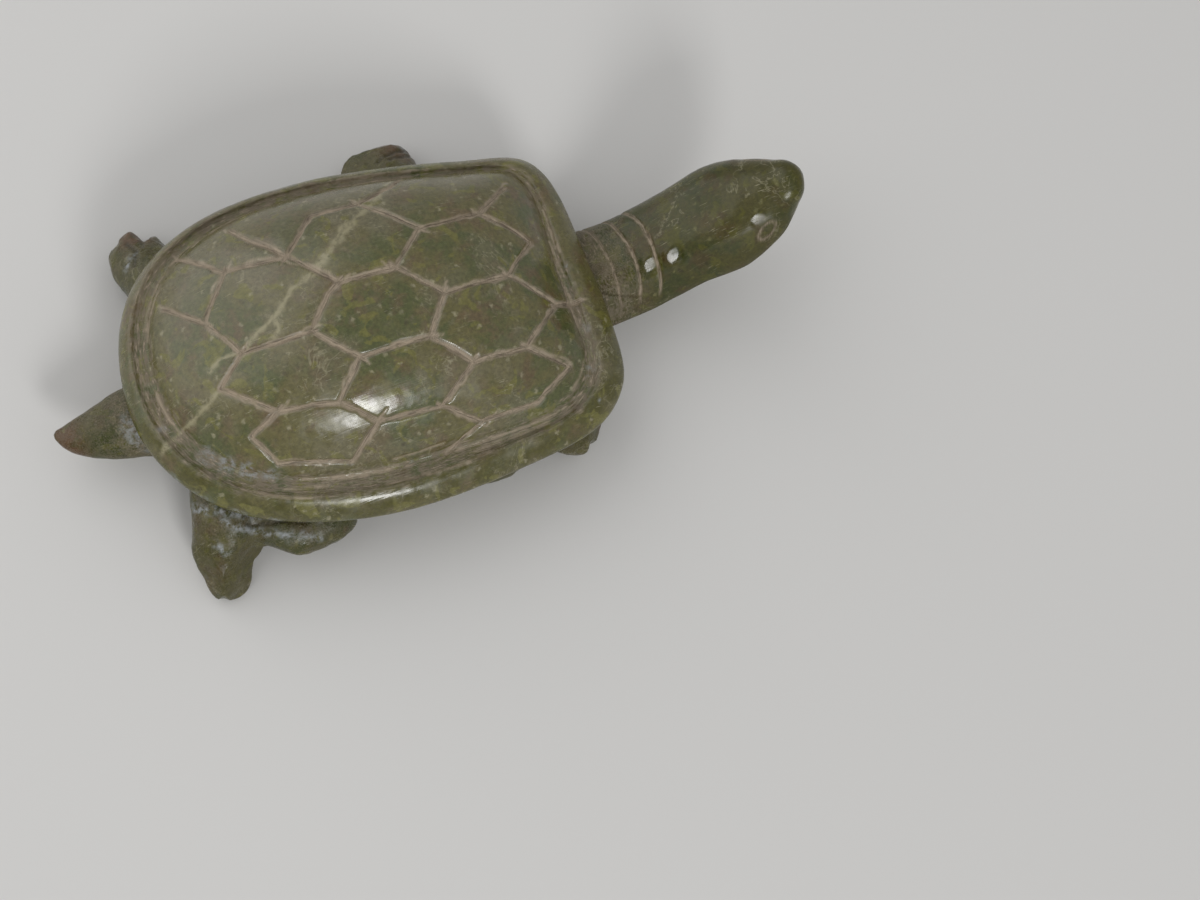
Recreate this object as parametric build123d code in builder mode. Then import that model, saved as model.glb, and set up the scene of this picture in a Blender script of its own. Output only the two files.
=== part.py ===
"""Carved stone turtle figurine, in millimetres, +X towards the snout and +Z up.

The origin is on the table, under the middle of the figurine's box. Eight pieces of stone are
bonded with tenons in sockets: the carapace sits on the belly block, and the belly block holds
the neck with the head, the tail and four legs. The four soles are cut flat to stand on.
"""

import os
from math import cos, hypot, radians, sin, sqrt

from build123d import *

# The shell, measured on the widest line of its rim
shell_length = 56.0
shell_width = 40.8
crown_height = 22.0
rim_underside = 9.3
rim_edge = 11.8
rim_inner = 12.8
rim_round = 1.1
brim_width = 3.0
channel_width = 1.1
channel_depth = 0.5
dome_sink = 4.6
dome_shift = 0.5

# Carving: the lines between the scutes, the neck's rings and the eyes
scute_line_width = 0.6
carving_depth = 0.35
neck_ring_width = 0.5
eye_radius = 1.1
eye_line = 0.4
eye_angle = 48.0

# The belly block under the shell, and the boss on it that locates the carapace
belly_underside = 2.6
belly_inset = 7.4
belly_tuck = 3.5
boss_length = 24.0
boss_width = 16.0
boss_rise = 2.0

# Tenons, and the line of glue round each
tenon_radius = 1.8
tenon_depth = 3.0
glue_gap = 0.1

# Neck and head
snout_reach = 53.2
snout_height = 20.0
neck_root = 18.0
neck_height = 5.2
neck_width = 12.2
neck_thickness = 9.4
neck_offset = 0.6
snout_offset = 1.0

# Tail
tail_reach = 35.9
tail_root = 17.0
tail_height = 6.0
tail_tip_height = 5.6
tail_width = 7.8
tail_thickness = 6.2
tail_drift = 2.7

# Legs: where each starts under the shell, and where its foot ends
front_leg_width = 8.6
hind_leg_width = 7.2
leg_thickness = 6.2
leg_root_reach = 6.5
front_left_root = 9.5
front_left_foot = 11.6
front_left_reach = 25.0
front_right_root = 8.5
front_right_foot = 23.4
front_right_reach = 17.6
hind_left_root = -18.0
hind_left_foot = -20.3
hind_left_reach = 23.4
hind_right_root = -20.5
hind_right_foot = -23.2
hind_right_reach = 21.4
shoulder_length = 15.0
shoulder_width = 12.0
shoulder_thickness = 6.0
shoulder_height = 5.6
shoulder_reach = 13.8
front_shoulder_lead = 0.5
hind_shoulder_lead = 6.5
toe_notch_radius = 0.7

# Shell outline as shares of its half length and half width, back from the front left corner
outline_shares = [
    (0.90, 0.73), (0.65, 0.83), (0.30, 0.94), (-0.08, 1.00), (-0.46, 0.96), (-0.74, 0.79),
    (-0.92, 0.47), (-0.99, 0.00), (-0.92, -0.38), (-0.74, -0.68), (-0.44, -0.89), (-0.05, -1.00),
    (0.42, -0.99), (0.76, -0.92), (0.93, -0.73), (0.985, -0.42), (1.00, 0.10), (0.985, 0.54),
]

# Levels of the dome from the channel to the crown, and the size of the flat that ends it
dome_level_shares = [0.0, 0.3, 0.55, 0.75, 0.89, 0.97]
crown_flat_share = 0.08

# Scute lines as shares of the dome's half length and half width
scute_line_shares = [
    [(-0.67, 0.82), (-0.56, 0.60), (-0.28, 0.53), (-0.11, 0.21), (0.16, 0.19), (0.35, 0.42),
     (0.66, 0.42), (0.85, 0.60)],
    [(-0.28, 0.53), (-0.40, 0.77)],
    [(-0.28, 0.53), (-0.09, 0.79), (0.13, 0.76), (0.33, 0.85)],
    [(0.35, 0.42), (0.29, 0.52)],
    [(0.16, 0.19), (0.33, -0.09), (0.67, -0.07), (0.88, 0.16), (0.76, 0.32)],
    [(0.67, -0.07), (0.88, -0.32), (0.63, -0.58), (0.35, -0.58), (0.19, -0.34), (0.33, -0.09)],
    [(0.63, -0.58), (0.83, -0.76), (0.61, -0.93), (0.32, -0.93), (0.15, -0.77)],
    [(0.35, -0.58), (0.15, -0.77), (-0.15, -0.73), (-0.30, -0.54), (-0.15, -0.32), (0.19, -0.34)],
    [(-0.15, -0.32), (-0.31, -0.05), (-0.17, 0.17), (-0.11, 0.21)],
    [(-0.31, -0.05), (-0.63, 0.00), (-0.73, 0.31), (-0.56, 0.60)],
    [(-0.73, 0.31), (-0.85, 0.54)],
    [(-0.63, 0.00), (-0.77, -0.15), (-0.57, -0.44), (-0.30, -0.54)],
    [(-0.57, -0.44), (-0.71, -0.51), (-0.63, -0.72), (-0.31, -0.88), (-0.15, -0.73)],
]

# Neck and head from root to snout: run, climb, width and thickness as shares
neck_station_shares = [
    (0.00, 0.00, 0.98, 0.80), (0.13, 0.00, 1.00, 0.80), (0.27, 0.01, 1.02, 0.84),
    (0.435, 0.08, 1.00, 0.94), (0.64, 0.34, 0.97, 1.02), (0.79, 0.55, 1.01, 1.05),
    (0.885, 0.71, 0.80, 0.86), (0.95, 0.86, 0.46, 0.54), (0.99, 0.97, 0.14, 0.18),
]
neck_ring_shares = [0.35, 0.41, 0.47]
eye_share = 0.85

# Tail from root to tip: run, drift, width and thickness as shares
tail_station_shares = [
    (0.00, 0.00, 1.00, 1.00), (0.26, 0.01, 0.99, 0.99), (0.51, 0.06, 0.94, 0.96),
    (0.68, 0.20, 0.78, 0.80), (0.82, 0.46, 0.56, 0.58), (0.94, 0.78, 0.32, 0.34),
    (0.99, 1.00, 0.11, 0.12),
]

# Legs from root to foot: run, height, width and thickness as shares
leg_station_shares = [
    (0.00, 1.00, 1.00, 1.00), (0.25, 0.97, 1.00, 1.00), (0.50, 0.88, 1.00, 1.00),
    (0.72, 0.58, 0.97, 0.92), (0.88, 0.34, 0.90, 0.80), (0.96, 0.25, 0.70, 0.62),
    (1.00, 0.22, 0.36, 0.36),
]
shoulder_station_shares = [-0.97, -0.75, -0.35, 0.35, 0.75, 0.97]
toe_notch_share = 0.24

mid_x = (tail_reach - snout_reach) / 2
mid_y = (max(front_right_reach, hind_right_reach) - max(front_left_reach, hind_left_reach)) / 2
dome_foot = rim_inner - channel_depth
dome_rise = crown_height - dome_foot + dome_sink
dome_half_length = shell_length / 2 - brim_width - channel_width
dome_half_width = shell_width / 2 - brim_width - channel_width
leg_height = rim_underside - leg_thickness / 2 - glue_gap


def level(height, shift=0.0):
    """Level plane over the middle of the shell, moved to the left by shift."""
    return Plane(origin=(mid_x, mid_y + shift, height))


def shell_section(height, half_length, half_width, roundness=0.0, shift=0.0):
    """Shell outline at a height, its corners drawn towards an ellipse by roundness."""
    points = []
    for along, across in outline_shares:
        blend = 1 - roundness + roundness / hypot(along, across)
        points.append((half_length * along * blend, half_width * across * blend))
    with BuildSketch(level(height, shift)) as section:
        with BuildLine():
            Spline(*points, periodic=True)
        make_face()
    return section.sketch


def rim_section(height, inset=0.0):
    """Shell outline at a height, drawn in from the rim's widest line by inset."""
    return shell_section(height, shell_length / 2 - inset, shell_width / 2 - inset)


def dome_sections(lower=0.0):
    """Sections of the domed back, from its foot to the crown, drawn in and lowered alike."""
    foot_share = sqrt(1 - (dome_sink / dome_rise) ** 2)
    half_length = dome_half_length - lower
    half_width = dome_half_width - lower
    sections = []
    for share in dome_level_shares:
        rise = dome_sink + (dome_rise - dome_sink) * share
        size_share = sqrt(1 - (rise / dome_rise) ** 2) / foot_share
        height = dome_foot - dome_sink + rise - lower
        length, width = half_length * size_share, half_width * size_share
        sections.append(shell_section(height, length, width, share, dome_shift))
    length, width = half_length * crown_flat_share, half_width * crown_flat_share
    sections.append(shell_section(crown_height - lower, length, width, 1.0, dome_shift))
    return sections


def run_form(places, sizes, inset=0.0):
    """Solid run of ellipses through places, each with its width and thickness."""
    sections = []
    for index, (place, (width, thickness)) in enumerate(zip(places, sizes)):
        before = places[max(index - 1, 0)]
        after = places[min(index + 1, len(places) - 1)]
        heading = after - before
        right = heading.cross(Vector(0, 0, 1))
        with BuildSketch(Plane(origin=place, x_dir=right, z_dir=heading)) as section:
            Ellipse(width / 2 - inset, thickness / 2 - inset)
        sections.append(section.sketch)
    with BuildPart() as form:
        loft(sections=sections)
    return form.part


def tenon(places, grow=0.0):
    """Round tenon that a run starts from, or its socket, larger by grow all round."""
    heading = (places[1] - places[0]).normalized()
    depth = tenon_depth + grow
    with BuildPart() as peg:
        with BuildSketch(Plane(origin=places[0] - heading * depth, z_dir=heading)):
            Circle(tenon_radius + grow)
        extrude(amount=depth + (places[1] - places[0]).length)
    return peg.part


# Belly block: the body under the shell, before its sockets are cut
with BuildPart() as belly_block:
    block_length = shell_length / 2 - belly_inset
    block_width = shell_width / 2 - belly_inset
    waist = (rim_underside + belly_underside) / 2
    top_section = shell_section(rim_underside, block_length, block_width)
    waist_section = shell_section(waist, block_length, block_width)
    low_length, low_width = block_length - belly_tuck, block_width - belly_tuck
    loft(sections=[top_section, waist_section])
    low_section = shell_section(belly_underside, low_length, low_width)
    loft(sections=[waist_section, low_section])

# The space that neck, tail and legs leave free: the block and what lies straight under it
with BuildPart() as block_clearance:
    add(belly_block.part)
    extrude(low_section, amount=-belly_underside - leg_thickness)

# Scute lines: a net of narrow walls that reach one carving depth below the dome
with BuildPart() as scute_lines:
    with BuildSketch(level(rim_inner, dome_shift)):
        for line_shares in scute_line_shares:
            with BuildLine():
                Polyline(*[(dome_half_length * u, dome_half_width * v) for u, v in line_shares])
            trace(line_width=scute_line_width)
    extrude(amount=crown_height)
    loft(sections=dome_sections(carving_depth), mode=Mode.SUBTRACT)

# Carapace: a rim with a sloping brim, a channel and the dome, in one piece of stone
with BuildPart() as carapace:
    loft(sections=[rim_section(rim_underside), rim_section(rim_edge)])
    loft(sections=[rim_section(rim_edge), rim_section(rim_inner, brim_width)])
    fillet(carapace.edges().filter_by_position(Axis.Z, rim_edge, rim_edge), rim_round)
    fillet(carapace.edges().group_by(Axis.Z)[0], rim_round)
    extrude(rim_section(dome_foot, brim_width), amount=crown_height, mode=Mode.SUBTRACT)
    loft(sections=dome_sections())
    add(scute_lines.part, mode=Mode.SUBTRACT)
    with BuildSketch(level(rim_underside)):
        Ellipse(boss_length / 2 + glue_gap, boss_width / 2 + glue_gap)
    extrude(amount=boss_rise + glue_gap, mode=Mode.SUBTRACT)

# Neck and head: one run of ellipses, with rings round the neck and a ring for each eye
neck_places = []
neck_sizes = []
for run, climb, width_share, thickness_share in neck_station_shares:
    along = neck_root + (snout_reach - neck_root) * run
    across = neck_offset + (snout_offset - neck_offset) * climb
    height = neck_height + (snout_height - neck_height) * climb
    neck_places.append(Vector(mid_x + along, mid_y - across, height))
    neck_sizes.append((neck_width * width_share, neck_thickness * thickness_share))


def neck_plane(share):
    """Plane square to the neck at a share of its run, with its x axis to the right."""
    along = mid_x + neck_root + (snout_reach - neck_root) * share
    ahead = next(index for index, place in enumerate(neck_places) if place.X > along)
    before, after = neck_places[ahead - 1], neck_places[ahead]
    heading = after - before
    place = before + heading * ((along - before.X) / heading.X)
    return Plane(origin=place, x_dir=heading.cross(Vector(0, 0, 1)), z_dir=heading)


with BuildPart() as neck_cuts:
    for share in neck_ring_shares:
        with BuildSketch(neck_plane(share)):
            Circle(neck_width)
        extrude(amount=neck_ring_width / 2, both=True)
    eye_plane = neck_plane(eye_share)
    for side in (-1, 1):
        sideways = eye_plane.x_dir * (side * sin(radians(eye_angle)))
        outward = sideways + eye_plane.y_dir * cos(radians(eye_angle))
        with BuildSketch(Plane(origin=eye_plane.origin, z_dir=outward)):
            Circle(eye_radius)
            Circle(eye_radius - eye_line, mode=Mode.SUBTRACT)
        extrude(amount=neck_width)
    add(run_form(neck_places, neck_sizes, carving_depth), mode=Mode.SUBTRACT)

with BuildPart() as head_and_neck:
    add(run_form(neck_places, neck_sizes))
    add(block_clearance.part, mode=Mode.SUBTRACT)
    add(tenon(neck_places))
    add(neck_cuts.part, mode=Mode.SUBTRACT)

# Tail: a short run that bends to the left and ends in a point
tail_places = []
tail_sizes = []
for run, drift, width_share, thickness_share in tail_station_shares:
    along = tail_root + (tail_reach - tail_root) * run
    height = tail_height + (tail_tip_height - tail_height) * run
    tail_places.append(Vector(mid_x - along, mid_y + tail_drift * drift, height))
    tail_sizes.append((tail_width * width_share, tail_thickness * thickness_share))

with BuildPart() as tail:
    add(run_form(tail_places, tail_sizes))
    add(block_clearance.part, mode=Mode.SUBTRACT)
    add(tenon(tail_places))

# Legs: name, side, root and foot along the shell, reach of the foot, width, lead of the shoulder
leg_plan = [
    ("front_left_leg", 1, front_left_root, front_left_foot, front_left_reach,
     front_leg_width, front_shoulder_lead),
    ("front_right_leg", -1, front_right_root, front_right_foot, front_right_reach,
     front_leg_width, front_shoulder_lead),
    ("hind_left_leg", 1, hind_left_root, hind_left_foot, hind_left_reach,
     hind_leg_width, hind_shoulder_lead),
    ("hind_right_leg", -1, hind_right_root, hind_right_foot, hind_right_reach,
     hind_leg_width, hind_shoulder_lead),
]


def leg_places(side, root, foot, reach):
    """Middle places of a leg from its root beside the belly block to the end of its foot."""
    start = Vector(mid_x + root, mid_y + side * leg_root_reach, 0)
    finish = Vector(mid_x + foot, mid_y + side * reach, 0)
    places = []
    for run, height, _, _ in leg_station_shares:
        places.append(start + (finish - start) * run + Vector(0, 0, leg_height * height))
    return places


def shoulder_places(side, along):
    """Places on the line of a leg's tenon: at the leg's root, and in the middle of its shoulder."""
    root = Vector(mid_x + along, mid_y + side * leg_root_reach, shoulder_height)
    return [root, root + Vector(0, side * (shoulder_reach - leg_root_reach), 0)]


def shoulder(middle):
    """Rounded shoulder or haunch where a leg leaves the belly block."""
    places = []
    sizes = []
    for share in shoulder_station_shares:
        round_share = sqrt(1 - share**2)
        places.append(middle + Vector(shoulder_length / 2 * share, 0, 0))
        sizes.append((shoulder_width * round_share, shoulder_thickness * round_share))
    return run_form(places, sizes)


def leg(side, root, foot, reach, width, lead):
    """One leg with its tenon, two notches between its toes and a flat sole."""
    places = leg_places(side, root, foot, reach)
    tenon_places = shoulder_places(side, root + lead)
    sizes = []
    for _, _, width_share, thickness_share in leg_station_shares:
        sizes.append((width * width_share, leg_thickness * thickness_share))
    toes = places[-2]
    heading = places[-1] - toes
    heading = Vector(heading.X, heading.Y, 0).normalized()
    right = heading.cross(Vector(0, 0, 1))
    with BuildPart() as limb:
        add(run_form(places, sizes))
        add(shoulder(tenon_places[1]))
        for toe_side in (-1, 1):
            notch = toes + right * (toe_side * width * toe_notch_share)
            with BuildSketch(Plane(origin=notch + heading * toe_notch_radius)):
                Circle(toe_notch_radius)
            extrude(amount=leg_thickness, both=True, mode=Mode.SUBTRACT)
        split(bisect_by=Plane.XY, keep=Keep.TOP)
        split(bisect_by=Plane.XY.offset(rim_underside), keep=Keep.BOTTOM)
        add(block_clearance.part, mode=Mode.SUBTRACT)
        add(tenon(tenon_places))
    return limb.part


# Belly: the block with its boss and one socket for each tenon
with BuildPart() as belly:
    add(belly_block.part)
    with BuildSketch(level(rim_underside)):
        Ellipse(boss_length / 2, boss_width / 2)
    extrude(amount=boss_rise)
    add(tenon(neck_places, glue_gap), mode=Mode.SUBTRACT)
    add(tenon(tail_places, glue_gap), mode=Mode.SUBTRACT)
    for _, side, root, _, _, _, lead in leg_plan:
        add(tenon(shoulder_places(side, root + lead), glue_gap), mode=Mode.SUBTRACT)

os.makedirs("parts", exist_ok=True)

carapace.part.label = "carapace"
export_step(carapace.part, "parts/carapace.step")

belly.part.label = "belly"
export_step(belly.part, "parts/belly.step")

head_and_neck.part.label = "head_and_neck"
export_step(head_and_neck.part, "parts/head_and_neck.step")

tail.part.label = "tail"
export_step(tail.part, "parts/tail.step")

for name, *leg_shape in leg_plan:
    limb_part = leg(*leg_shape)
    limb_part.label = name
    export_step(limb_part, f"parts/{name}.step")
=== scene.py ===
"""Turtle figurine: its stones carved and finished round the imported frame, on a pale board."""

import math
import random
from contextlib import contextmanager

import bpy
import numpy as np
from bpy.props import FloatProperty, FloatVectorProperty, IntProperty, PointerProperty
from mathutils import Matrix, Vector, noise
from mathutils.bvhtree import BVHTree
from mathutils.kdtree import KDTree


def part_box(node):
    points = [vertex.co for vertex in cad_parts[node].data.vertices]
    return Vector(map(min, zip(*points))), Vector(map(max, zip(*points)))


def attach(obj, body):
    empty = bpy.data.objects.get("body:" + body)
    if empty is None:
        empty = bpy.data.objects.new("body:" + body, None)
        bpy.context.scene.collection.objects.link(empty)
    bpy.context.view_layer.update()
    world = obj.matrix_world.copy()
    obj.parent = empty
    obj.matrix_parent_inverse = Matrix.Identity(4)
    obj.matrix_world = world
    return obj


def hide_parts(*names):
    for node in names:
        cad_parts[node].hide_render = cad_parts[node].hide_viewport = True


bl_info = {
    "name": "Turtle figurine",
    "version": (1, 0, 0),
    "blender": (4, 5, 0),
    "location": "3D View > Sidebar > Turtle",
    "description": "Carves a small stone turtle round its packed frame",
    "category": "Object",
}

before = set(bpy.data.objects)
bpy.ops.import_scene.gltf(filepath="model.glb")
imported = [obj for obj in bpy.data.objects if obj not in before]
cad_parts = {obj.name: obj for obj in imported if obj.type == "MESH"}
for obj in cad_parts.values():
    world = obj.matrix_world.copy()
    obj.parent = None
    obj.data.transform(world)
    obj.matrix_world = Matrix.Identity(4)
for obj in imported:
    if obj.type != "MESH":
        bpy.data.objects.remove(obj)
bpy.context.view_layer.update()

MM = 0.001

# Middle of the shell, which the neck and the tail run from
SHELL_X, SHELL_Y = -8.65 * MM, -1.8 * MM

# Spacing of the points of a scribed line, and the height below which the shell isn't scraped
LINE_STEP = 0.15 * MM
SCRAPED_ABOVE = 11 * MM

# Shell outline as shares of its half length and half width, back from the front left corner
OUTLINE = [
    (0.90, 0.73), (0.65, 0.83), (0.30, 0.94), (-0.08, 1.00), (-0.46, 0.96), (-0.74, 0.79),
    (-0.92, 0.47), (-0.99, 0.00), (-0.92, -0.38), (-0.74, -0.68), (-0.44, -0.89), (-0.05, -1.00),
    (0.42, -0.99), (0.76, -0.92), (0.93, -0.73), (0.985, -0.42), (1.00, 0.10), (0.985, 0.54),
]

# Scute lines as shares of the dome's half length and half width
SCUTE_LINES = [
    [(-0.70, 0.88), (-0.67, 0.82), (-0.56, 0.60), (-0.28, 0.53), (-0.11, 0.21), (0.16, 0.19),
     (0.35, 0.42), (0.66, 0.42), (0.85, 0.60)],
    [(-0.28, 0.53), (-0.40, 0.77), (-0.44, 0.90)],
    [(-0.28, 0.53), (-0.09, 0.79), (0.13, 0.76), (0.33, 0.85), (0.40, 0.92)],
    [(0.35, 0.42), (0.29, 0.52), (0.13, 0.76)],
    [(0.16, 0.19), (0.33, -0.09), (0.67, -0.07), (0.88, 0.16), (0.76, 0.32), (0.66, 0.42)],
    [(0.67, -0.07), (0.88, -0.32), (0.63, -0.58), (0.35, -0.58), (0.19, -0.34), (0.33, -0.09)],
    [(0.88, -0.32), (1.00, -0.31)],
    [(0.63, -0.58), (0.83, -0.76), (0.61, -0.93), (0.32, -0.93), (0.15, -0.77)],
    [(0.32, -0.93), (0.15, -1.00)],
    [(0.35, -0.58), (0.15, -0.77), (-0.15, -0.73), (-0.30, -0.54), (-0.15, -0.32), (0.19, -0.34)],
    [(-0.15, -0.32), (-0.31, -0.05), (-0.17, 0.17), (-0.11, 0.21)],
    [(-0.31, -0.05), (-0.63, 0.00), (-0.73, 0.31), (-0.56, 0.60)],
    [(-0.73, 0.31), (-0.85, 0.54)],
    [(-0.63, 0.00), (-0.77, -0.15), (-0.57, -0.44), (-0.30, -0.54)],
    [(-0.57, -0.44), (-0.71, -0.51), (-0.63, -0.72), (-0.31, -0.88), (-0.15, -0.73)],
]

# The pale vein over the back, in the same shares, and its side branches
VEIN = [
    (0.37, 0.93), (0.33, 0.85), (0.07, 0.61), (-0.14, 0.39), (-0.27, 0.33), (-0.44, 0.14),
    (-0.62, 0.00), (-0.77, -0.15), (-0.95, -0.26), (-1.08, -0.33),
]
VEIN_BRANCHES = [
    [(-0.14, 0.39), (-0.20, 0.31), (-0.30, 0.28)],
    [(-0.44, 0.14), (-0.43, 0.04), (-0.50, -0.03)],
    [(0.07, 0.61), (0.01, 0.60), (-0.06, 0.50)],
    [(-0.62, 0.00), (-0.70, 0.02), (-0.78, -0.02)],
]

# Neck and head from root to snout: run, climb, width and thickness as shares
NECK = [
    (0.00, 0.00, 0.98, 0.80), (0.13, 0.00, 1.00, 0.80), (0.27, 0.01, 1.02, 0.84),
    (0.435, 0.08, 1.00, 0.94), (0.64, 0.34, 0.97, 1.02), (0.79, 0.55, 1.01, 1.05),
    (0.885, 0.71, 0.80, 0.86), (0.95, 0.86, 0.50, 0.56), (0.985, 0.97, 0.26, 0.28),
    (0.995, 1.00, 0.10, 0.12),
]

# Rings round the neck: place along it in millimetres, lean and strength
NECK_RINGS = [(26.35, 0.10, 1.0), (24.15, 0.18, 0.9), (21.75, 0.12, 0.8)]

# Eyes, right and left: side, centre in millimetres, and 1 where the ring is cut, 0 where scratched
EYES = [(-1, (38.9, -7.35, 17.5), 1), (1, (41.2, 1.1, 16.7), 0)]

# Small facets rubbed flat on the head: plan place and radius in millimetres, outward direction
HEAD_FACETS = [
    (25.9, -4.6, 1.5, (-0.22, -0.57, 0.79)), (28.4, -4.9, 1.5, (-0.22, -0.57, 0.79)),
    (38.1, -5.5, 1.3, (-0.25, -0.57, 0.78)),
]

# Tail from root to tip: run, drift, width and thickness as shares
TAIL = [
    (0.00, 0.00, 1.00, 1.00), (0.26, 0.01, 0.99, 0.99), (0.51, 0.06, 0.94, 0.96),
    (0.68, 0.20, 0.86, 0.84), (0.82, 0.46, 0.66, 0.62), (0.94, 0.78, 0.36, 0.36),
    (1.00, 1.00, 0.08, 0.10),
]

# Chalky dust in the corners: x, y, z and radius in millimetres, and strength
SHELL_DUST = [
    (-30.4, -9.0, 12.6, 1.6, 0.7), (-28.6, -10.6, 12.6, 1.6, 0.9), (-26.6, -12.0, 12.6, 1.7, 1.0),
    (-24.6, -13.2, 12.6, 1.4, 0.7), (-33.8, -4.6, 12.6, 0.9, 0.6), (-31.6, 13.4, 13.0, 0.8, 0.7),
    (-34.6, -9.6, 9.9, 1.6, 0.9), (-32.4, -13.0, 9.9, 1.8, 1.0), (-29.6, -16.0, 9.8, 1.8, 1.0),
    (-26.0, -18.4, 9.7, 1.7, 0.9), (-22.0, -19.9, 9.7, 1.5, 0.6), (13.6, -14.4, 12.4, 1.1, 0.5),
    (15.2, -9.5, 12.4, 1.0, 0.4), (13.3, -18.1, 12.2, 0.5, 0.9), (16.0, -2.0, 12.6, 0.6, 0.6),
    (-21.6, 16.8, 14.0, 0.6, 0.4), (-28.0, 11.9, 14.6, 0.7, 0.5), (-25.6, 4.8, 16.5, 0.7, 0.5),
]
HEAD_DUST = [
    (41.8, -3.1, 18.6, 1.3, 0.9), (41.6, 0.9, 17.3, 0.8, 0.4), (35.0, -8.0, 16.0, 0.5, 0.4),
]
TAIL_DUST = [
    (-36.6, -3.6, 8.8, 2.0, 1.0), (-36.4, -1.2, 9.0, 1.6, 0.7), (-35.6, -5.4, 8.2, 2.2, 1.0),
    (-38.6, -1.2, 8.8, 0.5, 0.9), (-36.8, -2.2, 9.0, 1.8, 0.9), (-37.6, -4.4, 8.6, 1.1, 0.9),
]

# Legs, in millimetres: pushes as centre in space or in plan, radius and move, flat facets as
# centre, outward direction and radius, creases with painted shade and chalky lines in plan, brown
# spots as dust
WIDE = 40.0
LEGS = {
    "front_left_leg": {
        "pushes": [((-1.0, 21.0, 3.0), 3.5, (-1.1, 0.3, 0.0)),
                   ((6.5, 20.6, 3.0), 3.0, (-0.1, 0.1, 0.0))],
        "facets": [((2.6, 22.6, 3.0), (0.05, 1.0, 0.35), WIDE),
                   ((1.0, 21.0, 4.2), (-0.35, 0.55, 0.76), WIDE)],
        "marks": [[(2.0, 20.2), (4.2, 20.9), (6.0, 20.9)], [(3.4, 19.8), (6.4, 20.1)]],
        "chalk": [[(5.6, 21.6), (7.2, 21.2)]],
        "rust": [(5.5, 21.0, 3.0, 4.6, 1.0)],
    },
    "front_right_leg": {
        "pushes": [],
        "facets": [((15.0, -18.6, 3.0), (0.62, -0.62, 0.48), WIDE)],
        "marks": [[(11.0, -17.5), (13.0, -18.6)]],
        "chalk": [[(11.5, -16.8), (13.0, -17.6)]],
        "rust": [(15.0, -18.6, 2.0, 2.0, 0.5)],
    },
    "hind_left_leg": {
        "pushes": [((-33.2, 16.4, 3.5), 3.0, (-0.6, 0.0, 0.0)),
                   ((-28.3, 21.4), 1.5, (-0.2, 0.35, 0.0)),
                   ((-27.2, 21.2), 1.5, (0.1, -1.0, 0.0)),
                   ((-25.9, 20.6), 1.3, (0.2, -0.15, 0.0))],
        "facets": [((-31.3, 19.9, 3.2), (-0.66, 0.68, 0.45), WIDE)],
        "marks": [[(-27.3, 20.2), (-27.8, 18.8)], [(-29.4, 20.0), (-28.6, 18.2), (-29.4, 16.6)]],
        "chalk": [[(-30.6, 16.6), (-29.2, 17.8)]],
        "rust": [(-28.2, 20.6, 4.0, 3.2, 1.0)],
    },
    "hind_right_leg": {
        "pushes": [((-34.6, -16.4, 3.0), 4.0, (-1.1, 0.0, 0.0)),
                   ((-31.5, -20.5, 6.5), 3.0, (0.0, 0.0, -0.6)),
                   ((-23.4, -18.2, 3.5), 5.2, (1.6, -1.6, 0.0)),
                   ((-19.6, -18.4, 5.0), 4.8, (1.6, -1.0, 0.0)),
                   ((-28.4, -21.2), 2.8, (-1.1, 1.0, 0.0)),
                   ((-26.8, -17.0, 6.8), 2.4, (0.0, 0.0, -0.7))],
        "facets": [((-30.2, -20.6, 2.8), (0.42, -0.80, 0.43), 6.5),
                   ((-34.6, -19.6, 3.0), (-0.80, -0.42, 0.43), WIDE)],
        "marks": [[(-28.2, -16.6), (-26.0, -17.4), (-22.6, -18.8)]],
        "chalk": [[(-33.6, -11.6), (-32.5, -13.8), (-29.4, -15.3), (-26.6, -16.4),
                   (-23.8, -17.6), (-21.1, -19.2)],
                  [(-31.0, -15.6), (-28.5, -17.4), (-26.4, -18.6), (-21.6, -20.8)],
                  [(-33.2, -13.0), (-31.2, -14.0)], [(-32.4, -17.6), (-31.6, -18.6)]],
        "rust": [(-33.0, -20.0, 2.0, 2.5, 0.4)],
    },
}

# Noises in the stone: size in millimetres, detail, roughness and distortion. The strokes and the
# bruises are a quarter of a millimetre apart, and the grain is as coarse as the picture can show.
CLOUDS = {
    "patches": (7.0, 4.0, 0.60, 0.6), "drifts": (3.1, 5.0, 0.62, 0.3),
    "speckle": (1.2, 4.0, 0.65, 0.2), "greys": (9.0, 3.0, 0.55, 0.0),
    "yellows": (2.4, 4.0, 0.55, 0.0), "greens": (2.6, 3.0, 0.50, 0.8),
    "browns": (1.6, 4.0, 0.60, 0.0), "threads": (6.0, 5.0, 0.60, 0.8),
    "thinning": (9.0, 2.0, 0.55, 0.0), "wear": (5.0, 3.0, 0.55, 0.0),
    "grain": (0.42, 3.0, 0.70, 0.0), "curds": (0.7, 4.0, 0.70, 0.0),
    "fray": (0.5, 3.0, 0.60, 0.0), "chalk": (0.8, 5.0, 0.70, 0.0),
    "polish": (2.2, 4.0, 0.60, 0.0), "strokes": (0.20, 2.0, 0.60, 0.0),
    "bruising": (0.15, 2.0, 0.60, 0.0),
}

# Steps of the pattern's arithmetic, each a kind of node with its settings
EASE = ("ShaderNodeMapRange", {"interpolation_type": "SMOOTHSTEP"})
TIMES, PLUS, MINUS, MOST, SIZE, MORE = (
    ("ShaderNodeMath", {"operation": name})
    for name in ("MULTIPLY", "ADD", "SUBTRACT", "MAXIMUM", "ABSOLUTE", "MULTIPLY_ADD"))

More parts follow.
